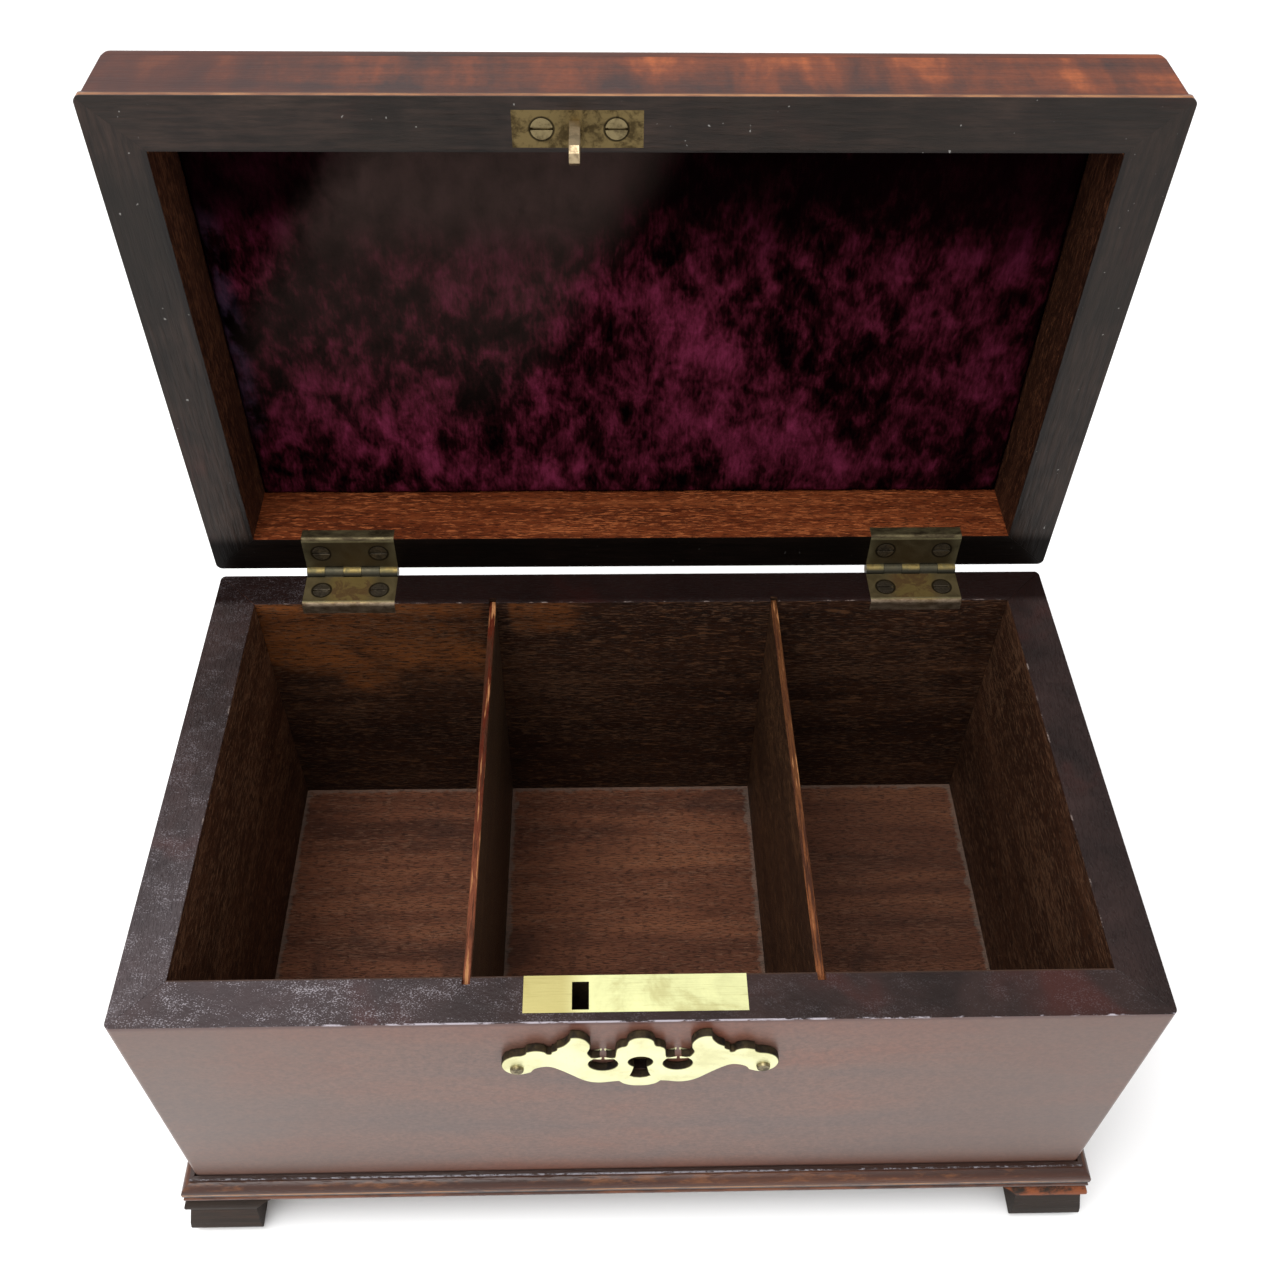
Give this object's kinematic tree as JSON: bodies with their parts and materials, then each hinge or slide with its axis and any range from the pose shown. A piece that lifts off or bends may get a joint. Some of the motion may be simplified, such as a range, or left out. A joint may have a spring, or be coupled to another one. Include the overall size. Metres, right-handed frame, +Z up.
{
  "type": "tea caddy",
  "caption": "Wooden tea caddy with a hinged lid standing open, three wells, moulded plinth, bracket feet, and brass lock, escutcheon and hinges.",
  "frame": {"origin": "on the floor, under the middle of the open caddy's bounding box", "axes": "+Z up, +Y from the front face towards the hinges, +X to the right seen from the front"},
  "size_m": [0.261, 0.1811, 0.2688],
  "materials": {
    "mahogany_front": "old french polish, faded grey-brown",
    "mahogany_case": "old french polish, dark",
    "mahogany_plinth": "old french polish, worn on the arrises",
    "mahogany_lid": "old french polish",
    "pine": "raw",
    "bright_brass": "cast, polished by handling",
    "polished_brass": "worn smooth",
    "aged_brass": "dull",
    "tarnished_brass": "tarnished brown",
    "steel": "dull",
    "card": "plain pulp board",
    "velvet": "crushed wine-coloured velvet"
  },
  "bodies": {
    "case": {"front_wall": "mahogany_front", "back_wall": "mahogany_case", "left_wall": "mahogany_case", "right_wall": "mahogany_case", "base_board": "mahogany_case", "divider_left": "mahogany_case", "divider_right": "mahogany_case", "plinth_front": "mahogany_plinth", "plinth_left": "mahogany_plinth", "plinth_right": "mahogany_plinth", "foot_front_left_face": "mahogany_plinth", "foot_front_left_side": "mahogany_plinth", "foot_front_right_face": "mahogany_plinth", "foot_front_right_side": "mahogany_plinth", "foot_back_left_side": "mahogany_plinth", "foot_back_left_brace": "mahogany_plinth", "foot_back_right_side": "mahogany_plinth", "foot_back_right_brace": "mahogany_plinth", "foot_glue_blocks": "pine", "escutcheon": "bright_brass", "escutcheon_pins": "bright_brass", "lock_plate": "polished_brass", "lock_cap": "aged_brass", "lock_cap_studs": "aged_brass", "lock_key_pin": "steel", "lock_screws": "aged_brass", "lock_spring": "steel", "hinge_left_case_leaf": "tarnished_brass", "hinge_right_case_leaf": "tarnished_brass", "hinge_case_screws": "tarnished_brass"},
    "lid": {"lid_top": "mahogany_lid", "lid_rail_front": "mahogany_lid", "lid_rail_back": "mahogany_lid", "lid_rail_left": "mahogany_lid", "lid_rail_right": "mahogany_lid", "lining_card": "card", "velvet_lining": "velvet", "hinge_left_lid_leaf": "tarnished_brass", "hinge_right_lid_leaf": "tarnished_brass", "hinge_left_pin": "tarnished_brass", "hinge_right_pin": "tarnished_brass", "hinge_lid_screws": "tarnished_brass", "catch_plate": "tarnished_brass", "catch_hook": "tarnished_brass", "catch_screws": "tarnished_brass"},
    "bolt": {"lock_bolt": "aged_brass"}
  },
  "joints": [
    {"name": "lid_hinge", "type": "hinge", "parent": "case", "child": "lid", "pos_m": [0, 0.063, 0.1196], "axis": [1, 0, 0], "range_deg": [0, 90]},
    {"name": "bolt_slide", "type": "slide", "parent": "case", "child": "bolt", "axis": [-1, 0, 0], "range_m": [0, 0.005]}
  ]
}
